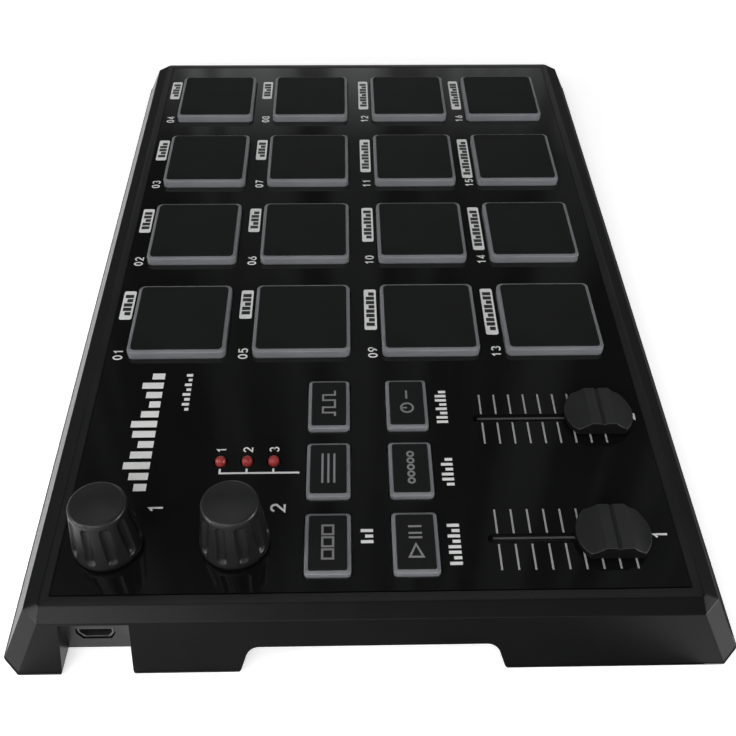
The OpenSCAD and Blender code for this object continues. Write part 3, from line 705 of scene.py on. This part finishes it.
# %% Key meshes
flange_reach = 1.4 * MM
flange_thickness = 1.1 * MM
rim_fall = 0.22 * MM
body_soft = 0.3 * MM
top_soft = 0.16 * MM
lip = 0.12 * MM
tuck = 0.1 * MM
least_corner = 0.4 * MM


def stack_key(name, length, width, corner, corner_shrink, rows):
    """Loft of rows, each of which says how far it is drawn in and how high it lies."""
    outlines = []
    for inset, z in rows:
        radius = max(corner - corner_shrink * inset, least_corner)
        outlines.append(rounded_outline(length - 2 * inset, width - 2 * inset, radius, z))
    return loft(name, outlines)


def rounding(inset, z, radius, degrees, steps):
    """Rows that turn an upright side inwards, starting below the first of them."""
    rows = []
    for step in range(1, steps + 1):
        angle = math.radians(degrees * step / steps)
        rows.append((inset + radius * (1 - math.cos(angle)), z + radius * math.sin(angle)))
    return rows


def key_body_rows(rim, low, high):
    soft_z = high - rim_fall - body_soft
    rows = [(-flange_reach, low), (-flange_reach, low + flange_thickness), (0, low + flange_thickness)]
    rows += [(0, panel_top), (0, soft_z)]
    rows += rounding(0, soft_z, body_soft, 75, 5)
    return rows + [(rim - lip, high), (rim, high - lip)]


def key_top_rows(rim, rim_z, high):
    rows = [(rim, rim_z - tuck), (rim, high - top_soft)]
    return rows + rounding(rim, high - top_soft, top_soft, 90, 3)


def key_meshes(kind, sample_node, corner, rim, step):
    low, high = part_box(sample_node)
    length = high.x - low.x - 2 * flange_reach
    width = high.y - low.y - 2 * flange_reach
    rim_z = high.z - step
    body = stack_key(kind + "_body", length, width, corner, 1, key_body_rows(rim, low.z, rim_z))
    top = stack_key(kind + "_top", length, width, corner, 0.5, key_top_rows(rim, rim_z, high.z))
    return body, top


pad_meshes = key_meshes("pad", "pad_01", corner=1.7 * MM, rim=1.0 * MM, step=0.25 * MM)
button_meshes = key_meshes("button", "button_1", corner=1.0 * MM, rim=0.9 * MM, step=0.25 * MM)
print("a pad's body has", len(pad_meshes[0].polygons), "faces, its top", len(pad_meshes[1].polygons))


# %% Set the keys in their windows
def set_key(node, meshes):
    low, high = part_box(node)
    place = ((low.x + high.x) / 2, (low.y + high.y) / 2, 0)
    carrier = node + "_body"
    body = new_piece(node + "_silicone", meshes[0], key_milky, carrier, [node], place)
    top = new_piece(node + "_black_top", meshes[1], key_black, carrier, (), place)
    flatten_shading(body)
    flatten_shading(top)


pad_names = ["pad_%02d" % (i + 1) for i in range(16)]
button_names = ["button_%d" % (i + 1) for i in range(6)]
for name in pad_names:
    set_key(name, pad_meshes)
for name in button_names:
    set_key(name, button_meshes)
print("set", len(pad_names), "pads and", len(button_names), "buttons")

# %% [markdown]
# ## Knobs
# A knob is turned like a cup and then fluted. The flutes could be cut out with ten balls and rods, but
# the surface can also be written straight down, as a radius for each height and angle, and then every
# edge of a flute is smooth. Each flute is a ball-ended groove: the distance from the groove's middle
# line says how deep the surface is cut there.

# %% Knob profile and flutes
knob_foot = 7.8 * MM
knob_top = 6.3 * MM
knob_height = 14.2 * MM
knob_skirt = 1.2 * MM
knob_crown = 0.5 * MM
knob_shoulder = 1.0 * MM
shoulder_rise = 0.9 * knob_shoulder
foot_soft = 0.2 * MM
crown_tip = 0.02 * MM
side_rows = 48
shoulder_rows = 7
crown_rows = 8
flute_count = 10
flute_turn = math.radians(-15.5)
flute_radius = 1.3 * MM
flute_depth = 0.7 * MM
flute_margin = 0.35 * MM
points_per_flute = 28


def knob_profile():
    """Height and radius of the plain turned knob, from its foot to its crown."""
    rows = [(0, knob_foot - foot_soft), (foot_soft, knob_foot), (knob_skirt, knob_foot)]
    side_top = knob_height - knob_shoulder
    for row in range(1, side_rows + 1):
        share = row / side_rows
        z = knob_skirt + share * (side_top - knob_skirt)
        rows.append((z, knob_foot + share * (knob_top - knob_foot)))
    for row in range(1, shoulder_rows + 1):
        angle = math.radians(90 * row / shoulder_rows)
        z = side_top + shoulder_rise * math.sin(angle)
        rows.append((z, knob_top - knob_shoulder * (1 - math.cos(angle))))
    base, rim = rows[-1]
    for row in range(1, crown_rows + 1):
        share = row / crown_rows
        rows.append((base + knob_crown * math.sin(share * math.pi / 2), rim * (1 - share) + crown_tip))
    return rows


def flute_cut(z, radius, angle):
    """Depth of the flutes at a point on the knob's side."""
    pitch = math.tau / flute_count
    away = abs((angle + pitch / 2) % pitch - pitch / 2) * radius
    low = knob_skirt + flute_radius + flute_margin
    high = knob_height - knob_shoulder - flute_radius - flute_margin
    along = max(low - z, z - high, 0)
    left = flute_radius ** 2 - away ** 2 - along ** 2
    if left <= 0:
        return 0
    return max(math.sqrt(left) - (flute_radius - flute_depth), 0)


print("a knob's profile has", len(knob_profile()), "rows")


# %% Knob mesh
def knob_mesh():
    around = flute_count * points_per_flute
    outlines = []
    for z, radius in knob_profile():
        outline = []
        for step in range(around):
            angle = math.tau * step / around
            cut = flute_cut(z, radius, angle) if knob_skirt < z < knob_height else 0
            place = angle + flute_turn
            outline.append(((radius - cut) * math.cos(place), (radius - cut) * math.sin(place), z))
        outlines.append(outline)
    return loft("knob", outlines)


turned_knob = knob_mesh()
for name in ("knob_1", "knob_2"):
    low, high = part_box(name)
    middle = ((low.x + high.x) / 2, (low.y + high.y) / 2, low.z)
    new_piece(name + "_fluted", turned_knob, knob_black, name + "_body", [name], middle, 50)
print("a knob has", len(turned_knob.polygons), "faces")

# %% [markdown]
# ## Indicator lights
# A light is a red resin dome that stands up through the panel, with a flange below that stops it from
# falling out. A ball would do for the dome, but the flange and the short straight neck are there too
# once it is a stack of circles. The three share one mesh.

# %% Indicator lights
led_low, led_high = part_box("status_leds")
led_count = 3
led_pitch = 6.34 * MM
led_radius = 1.35 * MM
led_flange = 1.9 * MM
led_flange_thickness = 0.8 * MM
led_straight = 0.2 * MM
led_sides = 32
led_rows = 8
dome_degrees = 89
led_x = (led_low.x + led_high.x) / 2
led_places = [(led_x, led_high.y - led_flange - i * led_pitch) for i in range(led_count)]


def led_mesh():
    flange_top = led_low.z + led_flange_thickness
    rows = [(led_flange, led_low.z), (led_flange, flange_top), (led_radius, flange_top)]
    for row in range(led_rows + 1):
        angle = math.radians(dome_degrees * row / led_rows)
        rows.append((led_radius * math.cos(angle), panel_top + led_straight + led_radius * math.sin(angle)))
    around = [math.tau * i / led_sides for i in range(led_sides)]
    return loft("led", [[(r * math.cos(a), r * math.sin(a), z) for a in around] for r, z in rows])


red_dome = led_mesh()
for index, (x, y) in enumerate(led_places):
    stands_for = () if index else ["status_leds"]
    new_piece("light_%d" % (index + 1), red_dome, red_lens, "case", stands_for, (x, y, 0), 50)
print("set", len(led_places), "indicator lights")

# %% [markdown]
# ## Fader caps
# A fader cap is a disc with two flats, scooped down at both ends to leave a ridge with a groove for the
# finger. Booleans could scoop it, but its top depends only on the distance along the fader. So the
# piece is made from stacked outlines: each outline is a little smaller than the one below, and every
# point of it is lifted to the height that the saddle has there. Strips across the top close it.

# %% Shape of the fader cap's top
cap_low, cap_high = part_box("fader_cap_1")
cap_length = cap_high.y - cap_low.y
cap_width = cap_high.x - cap_low.x
cap_height = cap_high.z - cap_low.z
cap_end = 1.3 * MM
cap_ridge = 6.2 * MM
cap_groove = 0.45 * MM
cap_soft = 0.3 * MM
scoop_share = 1.15
soft_rows = 5
corner_step = 0.15 * MM
ridge_step = 0.02 * MM
half_cap = cap_length / 2
half_ridge = cap_ridge / 2


def cap_surface(y):
    """Height of the cap's top at a distance along it."""
    away = abs(y)
    if away <= half_ridge:
        return cap_height - math.sqrt(max(cap_groove ** 2 - y ** 2, 0))
    run = half_cap - half_ridge
    fall = cap_height - cap_end
    chord = math.hypot(run, fall)
    scoop = scoop_share * chord
    stand_off = math.sqrt(scoop ** 2 - chord ** 2 / 4)
    middle_y = (half_cap + half_ridge) / 2 + stand_off * fall / chord
    middle_z = (cap_height + cap_end) / 2 + stand_off * run / chord
    return middle_z - math.sqrt(max(scoop ** 2 - (away - middle_y) ** 2, 0))


def cap_stations():
    """Distances along the cap at which its outline has a point, denser where it bends."""
    corner = math.sqrt(half_cap ** 2 - cap_width ** 2 / 4)
    stations = [half_cap * math.cos(math.radians(angle)) for angle in range(1, 46, 3)]
    stations += [corner + corner_step, corner, corner - corner_step]
    stations += [half_ridge + ridge_step, half_ridge, half_ridge * 0.7, half_ridge * 0.4]
    stations += [half_ridge + (corner - half_ridge) * i / 8 for i in range(1, 8)]
    stations += [cap_groove * math.sin(math.radians(90 - 15 * i)) for i in range(6)]
    return sorted(stations + [-y for y in stations] + [0.0])


def cap_half_outline(inset):
    """Half width and distance along the cap for one side of the outline, drawn in by inset."""
    radius = half_cap - inset
    half = []
    for y in cap_stations():
        place = y * radius / half_cap
        half.append((min(cap_width / 2 - inset, math.sqrt(max(radius ** 2 - place ** 2, 0))), place))
    return half


print("a fader cap is", round(cap_length / MM, 1), "mm long and its ends", round(cap_end / MM, 1), "mm high")

# %% [markdown]
# A cap carries painted light in three finishes. Its sides, the faces that do not look up, are the
# darkest: painted shade. The scooped ends are a little paler, and the ridge is the palest: painted
# sheen. A painted mask could do it; three finishes, chosen by where each face lies, do it with no picture.


# %% Fader cap mesh
def cap_levels():
    """How far each outline is drawn in, and how far it lies below the saddle; None is the foot."""
    levels = [(0, None)]
    for row in range(soft_rows + 1):
        angle = math.radians(90 * row / soft_rows)
        levels.append((cap_soft * (1 - math.cos(angle)), cap_soft * (1 - math.sin(angle))))
    return levels


# Faces that do not look up get the painted shade, the ridge the painted sheen, the scoops the plain cap
# black.
def cap_painted_light_index(face):
    if face.normal.z <= 0.5:
        return 0
    on_ridge = cap_groove < abs(face.calc_center_median().y) < half_ridge
    return 2 if on_ridge else 1


def cap_mesh():
    outlines = []
    for inset, drop in cap_levels():
        half = cap_half_outline(inset)
        around = half + [(-x, y) for x, y in reversed(half)]
        outlines.append([(x, y, 0 if drop is None else cap_surface(y) - drop) for x, y in around])
    mesh = loft("fader_cap", outlines)
    shape = bmesh.new()
    shape.from_mesh(mesh)
    count = len(outlines[0])
    top = [v for v in shape.verts if v.index >= (len(outlines) - 1) * count]
    bottom = [v for v in shape.verts if v.index < count]
    for face in [f for f in shape.faces if len(f.verts) == count]:
        shape.faces.remove(face)
    for i in range(count // 2 - 1):
        j = count - 1 - i
        shape.faces.new((top[i], top[i + 1], top[j - 1], top[j]))
        shape.faces.new((bottom[j], bottom[j - 1], bottom[i + 1], bottom[i]))
    bmesh.ops.recalc_face_normals(shape, faces=shape.faces)
    for face in shape.faces:
        face.material_index = cap_painted_light_index(face)
    shape.to_mesh(mesh)
    shape.free()
    for finish in (cap_side_painted_shade, cap_black, cap_ridge_painted_sheen):
        mesh.materials.append(finish)
    return mesh


saddle = cap_mesh()
for index in (1, 2):
    node = "fader_cap_%d" % index
    low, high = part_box(node)
    place = ((low.x + high.x) / 2, (low.y + high.y) / 2, low.z)
    new_piece(node + "_saddle", saddle, cap_black, "fader_%d_body" % index, [node], place)
print("a fader cap has", len(saddle.polygons), "faces")

# %% [markdown]
# ## Print on the panel
# The panel's marks are screen print: flat shapes a few hundredths of a millimetre thick. A picture on
# the panel would blur close up and needs a file; thin plates stay sharp from any distance. Each group
# of marks is one mesh. Plates are drawn as outlines in millimetres on the panel and then given their
# thickness, and figures are drawn as pen strokes: a line of points, thickened to both sides.

# %% Print helpers
ink_height = 0.04 * MM


def plate(shape, outline, low, high):
    """A thin plate from an outline in millimetres."""
    count = len(outline)
    lower = [shape.verts.new((x * MM, y * MM, low)) for x, y in outline]
    upper = [shape.verts.new((x * MM, y * MM, high)) for x, y in outline]
    shape.faces.new(upper)
    shape.faces.new(list(reversed(lower)))
    for i in range(count):
        j = (i + 1) % count
        shape.faces.new((lower[i], lower[j], upper[j], upper[i]))


def bar(x0, y0, x1, y1):
    return [(x0, y0), (x1, y0), (x1, y1), (x0, y1)]


def tab(x0, y0, x1, y1, corner):
    middle = ((x0 + x1) / 2, (y0 + y1) / 2)
    outline = rounded_outline(x1 - x0, y1 - y0, corner, 0, 5)
    return [(middle[0] + x, middle[1] + y) for x, y, z in outline]


def print_marks(name, outlines, ink, base=panel_top, height=ink_height):
    shape = bmesh.new()
    for outline in outlines:
        plate(shape, outline, base, base + height)
    mesh = bpy.data.meshes.new(name)
    shape.to_mesh(mesh)
    shape.free()
    return new_piece(name, mesh, ink, "case")


print("print helpers ready")


# %% Pen strokes
def ribbon(shape, line, width, low, high, closed=False):
    """A thin plate that follows a line of points in millimetres."""
    count = len(line)
    rings = []
    for i, point in enumerate(line):
        before = line[i - 1] if i or closed else line[0]
        after = line[(i + 1) % count] if i + 1 < count or closed else line[-1]
        here = Vector(point)
        ways = [w.normalized() for w in (here - Vector(before), Vector(after) - here) if w.length > 1e-6]
        along = sum(ways, Vector((0, 0))).normalized()
        across = Vector((-along.y, along.x)) * width / 2 / max(along.dot(ways[0]), 0.5)
        sides = [here + across, here - across]
        rings.append([shape.verts.new((p.x * MM, p.y * MM, z)) for z in (low, high) for p in sides])
    for i in range(count if closed else count - 1):
        a = rings[i]
        b = rings[(i + 1) % count]
        for one, two in ((0, 1), (1, 3), (3, 2), (2, 0)):
            shape.faces.new((a[one], a[two], b[two], b[one]))
    if not closed:
        for a in (rings[0], rings[-1]):
            shape.faces.new((a[0], a[1], a[3], a[2]))


def arc(x, y, rx, ry, start, stop, steps=12):
    angles = [math.radians(start + (stop - start) * i / steps) for i in range(steps + 1)]
    return [(x + rx * math.cos(a), y + ry * math.sin(a)) for a in angles]


def print_lines(name, lines, width, ink, body="case", base=panel_top):
    """One piece of print made of pen strokes; each is a line of points and whether it closes."""
    shape = bmesh.new()
    for line, closed in lines:
        ribbon(shape, line, width, base, base + ink_height, closed)
    bmesh.ops.recalc_face_normals(shape, faces=shape.faces)
    mesh = bpy.data.meshes.new(name)
    shape.to_mesh(mesh)
    shape.free()
    return new_piece(name, mesh, ink, body)


print("pen strokes ready")

# %% [markdown]
# Blender has text objects, but they bring a typeface along. Ten plain figures are drawn as pen strokes
# instead, in a box one unit high, from straight lines and pieces of ellipses.

# %% Figures drawn as strokes
figure_strokes = {
    "0": [arc(0.3, 0.5, 0.3, 0.5, 0, 345, 23)],
    "1": [[(0.08, 0.76), (0.34, 1.0), (0.34, 0.0)]],
    "2": [arc(0.3, 0.7, 0.3, 0.3, 170, -25) + [(0.0, 0.0), (0.62, 0.0)]],
    "3": [arc(0.28, 0.75, 0.27, 0.25, 160, -90), arc(0.28, 0.26, 0.31, 0.26, 90, -160)],
    "4": [[(0.62, 0.3), (0.0, 0.3), (0.44, 1.0), (0.44, 0.0)]],
    "5": [[(0.56, 1.0), (0.1, 1.0), (0.06, 0.56)] + arc(0.28, 0.32, 0.31, 0.32, 120, -150)],
    "6": [[(0.46, 1.0), (0.06, 0.45)] + arc(0.3, 0.29, 0.3, 0.29, 150, 510, 20)],
    "7": [[(0.0, 1.0), (0.58, 1.0), (0.2, 0.0)]],
    "8": [arc(0.3, 0.75, 0.24, 0.25, 0, 345, 19), arc(0.3, 0.26, 0.3, 0.26, 0, 345, 19)],
    "9": [[(0.14, 0.0), (0.54, 0.55)] + arc(0.3, 0.71, 0.3, 0.29, -30, 330, 20)],
}
closed_figures = "08"
pen_share = 0.15
figure_pitch = 0.86


def print_figures(name, figures, height, ink):
    """Several numbers in one piece, each with the place of its lower left corner in millimetres."""
    pen = pen_share * height
    tall = height - pen
    lines = []
    for text, x, y in figures:
        for index, figure in enumerate(text):
            left = x + pen / 2 + index * figure_pitch * height
            for stroke in figure_strokes[figure]:
                line = [(left + px * tall, y + pen / 2 + py * tall) for px, py in stroke]
                lines.append((line, figure in closed_figures))
    return print_lines(name, lines, pen, ink)


print("figures ready:", " ".join(figure_strokes))

# %% [markdown]
# Each pad has its number printed beside it and a small white tab with a row of black blocks, whose length
# differs from pad to pad. Tab and blocks could be one shape with holes, but two layers of plates, black
# on white, are how a printer would do it, and far simpler.

# %% Numbers and tabs of the pads
tab_lengths = [11.8] * 8 + [16.7, 16.9, 19.2, 19.2, 19.0, 21.2, 22.8, 19.5]
tab_end = 13.5
tab_low = 1.1
tab_high = 4.5
tab_corner = 0.6
tab_margin = 0.9
number_height = 2.6
number_start = -14.0
number_low = 1.2
block_pitch = 1.8
block_width = 1.35
block_low = 1.65
block_shift = 0.3
short_block = 1.6
tall_block = 2.3
pad_numbers = []
pad_tabs = []
tab_blocks = []
for index, name in enumerate(pad_names):
    low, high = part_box(name)
    x = (low.x + high.x) / 2 / MM
    edge = (high.y - flange_reach) / MM
    length = tab_lengths[index]
    start = x + tab_end - length
    pad_numbers.append(("%02d" % (index + 1), x + number_start, edge + number_low))
    pad_tabs.append(tab(start, edge + tab_low, x + tab_end, edge + tab_high, tab_corner))
    blocks = int((length - 2 * tab_margin) / block_pitch)
    first = start + (length - blocks * block_pitch) / 2 + block_shift
    for block in range(blocks):
        left = first + block * block_pitch
        tall = tall_block if (block + index) % 3 else short_block
        tab_blocks.append(bar(left, edge + block_low, left + block_width, edge + block_low + tall))
print_figures("pad_numbers", pad_numbers, number_height, white_ink)
print_marks("pad_tabs", pad_tabs, white_ink)
print_marks("pad_tab_strokes", tab_blocks, black_ink, base=panel_top + ink_height)
print("printed", len(pad_numbers), "pad numbers and tabs")

# %% [markdown]
# The faders have a scale of ticks on both sides of their slots. Inside each slot lie two strips of grey
# felt that keep dust out and leave room for the lever, and the far one catches a thin line of light.
# Hairs could be grown on them, but at this size a rough grey strip looks the same.

# %% Scales and felts of the faders
fader_rests = {1: 4.3, 2: 1.0}
fader_travel = 30.0
tick_count = 9
tick_half = 0.22
far_ticks = (1.4, 8.0)
near_ticks = (-8.3, -1.5)
felt_reach = 0.9
felt_strips = ((0.68, 1.19), (-1.19, -0.68))
felt_depth = 1.4 * MM
felt_thickness = 0.2 * MM
ticks = []
felts = []
for index, rest in fader_rests.items():
    low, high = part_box("fader_cap_%d" % index)
    x = (low.x + high.x) / 2 / MM
    end = (low.y + high.y) / 2 / MM - rest
    for tick in range(tick_count):
        y = end + fader_travel * tick / (tick_count - 1)
        for start, stop in (far_ticks, near_ticks):
            ticks.append(bar(x + start, y - tick_half, x + stop, y + tick_half))
    for inner, outer in felt_strips:
        felts.append(bar(x + inner, end - felt_reach, x + outer, end + fader_travel + felt_reach))
print_marks("fader_scales", ticks, scale_ink)
print_marks("fader_felts", felts, felt_grey, panel_top - felt_depth, felt_thickness)
print("printed", len(ticks), "ticks and laid", len(felts), "felts")

# %% [markdown]
# The three lights stand on a bracket that leads to the button that steps through them. It is a comb: one
# long bar with a tooth for each light. Lights, knobs and faders have their numbers beside them.

# %% Bracket of the lights and numbers of the controls
comb_line = 0.5
comb_back = -3.75
comb_tip = -2.2
comb_tail = 6.2
light_number_place = (2.9, -1.2)
light_number_height = 2.4
control_number_height = 3.6
comb_x = led_x / MM
comb_ys = [y / MM for x, y in led_places]
tooth_x = comb_x + comb_back + comb_line
bracket = [bar(comb_x + comb_back, comb_ys[-1] - comb_tail, tooth_x, comb_ys[0] + comb_line / 2)]
for y in comb_ys:
    bracket.append(bar(tooth_x, y - comb_line / 2, comb_x + comb_tip, y + comb_line / 2))
print_marks("light_bracket", bracket, white_ink)
light_figures = []
for index, y in enumerate(comb_ys):
    light_figures.append((str(index + 1), comb_x + light_number_place[0], y + light_number_place[1]))
print_figures("light_numbers", light_figures, light_number_height, white_ink)
control_figures = [("1", -91.4, 47.4), ("2", -91.7, 19.5), ("1", -100.4, -66.9), ("2", -64.6, -66.9)]
print_figures("control_numbers", control_figures, control_number_height, white_ink)
print("printed the bracket and", len(light_figures) + len(control_figures), "numbers")

# %% [markdown]
# Beside the lights the panel carries a plain row of level bars, the kind of mark that any sound tool
# might wear, with a smaller row next to it. Short rows of blocks stand beside the buttons that have a
# second use. They could be set one by one; a helper that takes a list of heights makes each row one
# line.


# %% Level bars on the panel
def level_row(x, y, heights, width, pitch):
    return [bar(x + i * pitch, y, x + i * pitch + width, y + h) for i, h in enumerate(heights)]


big_heights = (3.0, 4.6, 6.4, 5.2, 3.8, 5.6, 6.4, 4.4, 2.8, 4.0, 5.4, 3.2)
small_heights = (1.0, 1.8, 1.4, 2.0, 1.2, 1.8, 1.0, 1.6)
big_bars = level_row(-85.2, 52.3, big_heights, 2.1, 3.29)
small_bars = level_row(-60.0, 45.1, small_heights, 0.9, 1.7)
print_marks("level_bars", big_bars + small_bars, white_ink)

block_rows = [
    (-100.5, -0.4, (2.8, 1.8, 2.8), 1.5),
    (-106.5, -19.9, (2.8, 1.8, 2.8, 2.8, 1.8, 2.8, 1.8, 2.8), 1.45),
    (-84.6, -19.9, (1.8, 2.8, 2.8, 1.8, 2.8, 1.8), 1.5),
    (-65.0, -19.9, (2.8, 2.8, 1.8, 2.8, 1.8, 2.8, 2.8, 1.8), 1.45),
]
row_block_width = 0.8
side_marks = []
for x, y, heights, pitch in block_rows:
    side_marks += level_row(x, y, heights, row_block_width, pitch)
print_marks("button_second_marks", side_marks, white_ink)
print("printed", len(big_bars + small_bars), "level bars and", len(side_marks), "blocks")

# %% [markdown]
# Each button wears a small grey sign, drawn in thin strokes on its black top: blocks, lines, a pulse, a
# pointer, rings and a dial. They use the pen of the figures. Strokes of even width keep the six signs
# one family, and each sign rides on its button, so it goes down with it.


# %% Signs on the buttons
def ring_line(x, y, radius):
    return arc(x, y, radius, radius, 0, 345, 23), True


def sign_lines(kind):
    if kind == 1:
        return [(bar(-4.4 + i * 3.2, -1.2, -2.0 + i * 3.2, 1.2), True) for i in range(3)]
    if kind == 2:
        return [([(-4.4, y), (4.4, y)], False) for y in (-1.4, 0, 1.4)]
    if kind == 3:
        heights = (-1.5, -1.5, 1.5, 1.5, -1.5, -1.5, 1.5, 1.5, -1.5, -1.5)
        steps = (-4.4, -3.3, -3.3, -1.5, -1.5, 0.9, 0.9, 2.7, 2.7, 4.2)
        return [(list(zip(steps, heights)), False)]
    if kind == 4:
        bars = [([(x, -1.5), (x, 1.5)], False) for x in (0.9, 2.1, 3.9)]
        return [([(-4.2, -1.5), (-0.9, 0), (-4.2, 1.5)], True)] + bars
    if kind == 5:
        return [ring_line(-4.0 + i * 2.0, 0, 0.7) for i in range(5)]
    return [ring_line(-1.9, 0, 1.5), ([(-1.9, 0), (-1.9, 1.5)], False), ([(1.2, 0), (4.0, 0)], False)]


sign_pen = 0.5
sign_sink = 0.02 * MM
for index, name in enumerate(button_names):
    low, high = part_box(name)
    x = (low.x + high.x) / 2 / MM
    y = (low.y + high.y) / 2 / MM
    lines = [([(x + px, y + py) for px, py in line], closed) for line, closed in sign_lines(index + 1)]
    sign_z = high.z - sign_sink
    print_lines(name + "_sign", lines, sign_pen, grey_ink, name + "_body", sign_z)
print("signed", len(button_names), "buttons")
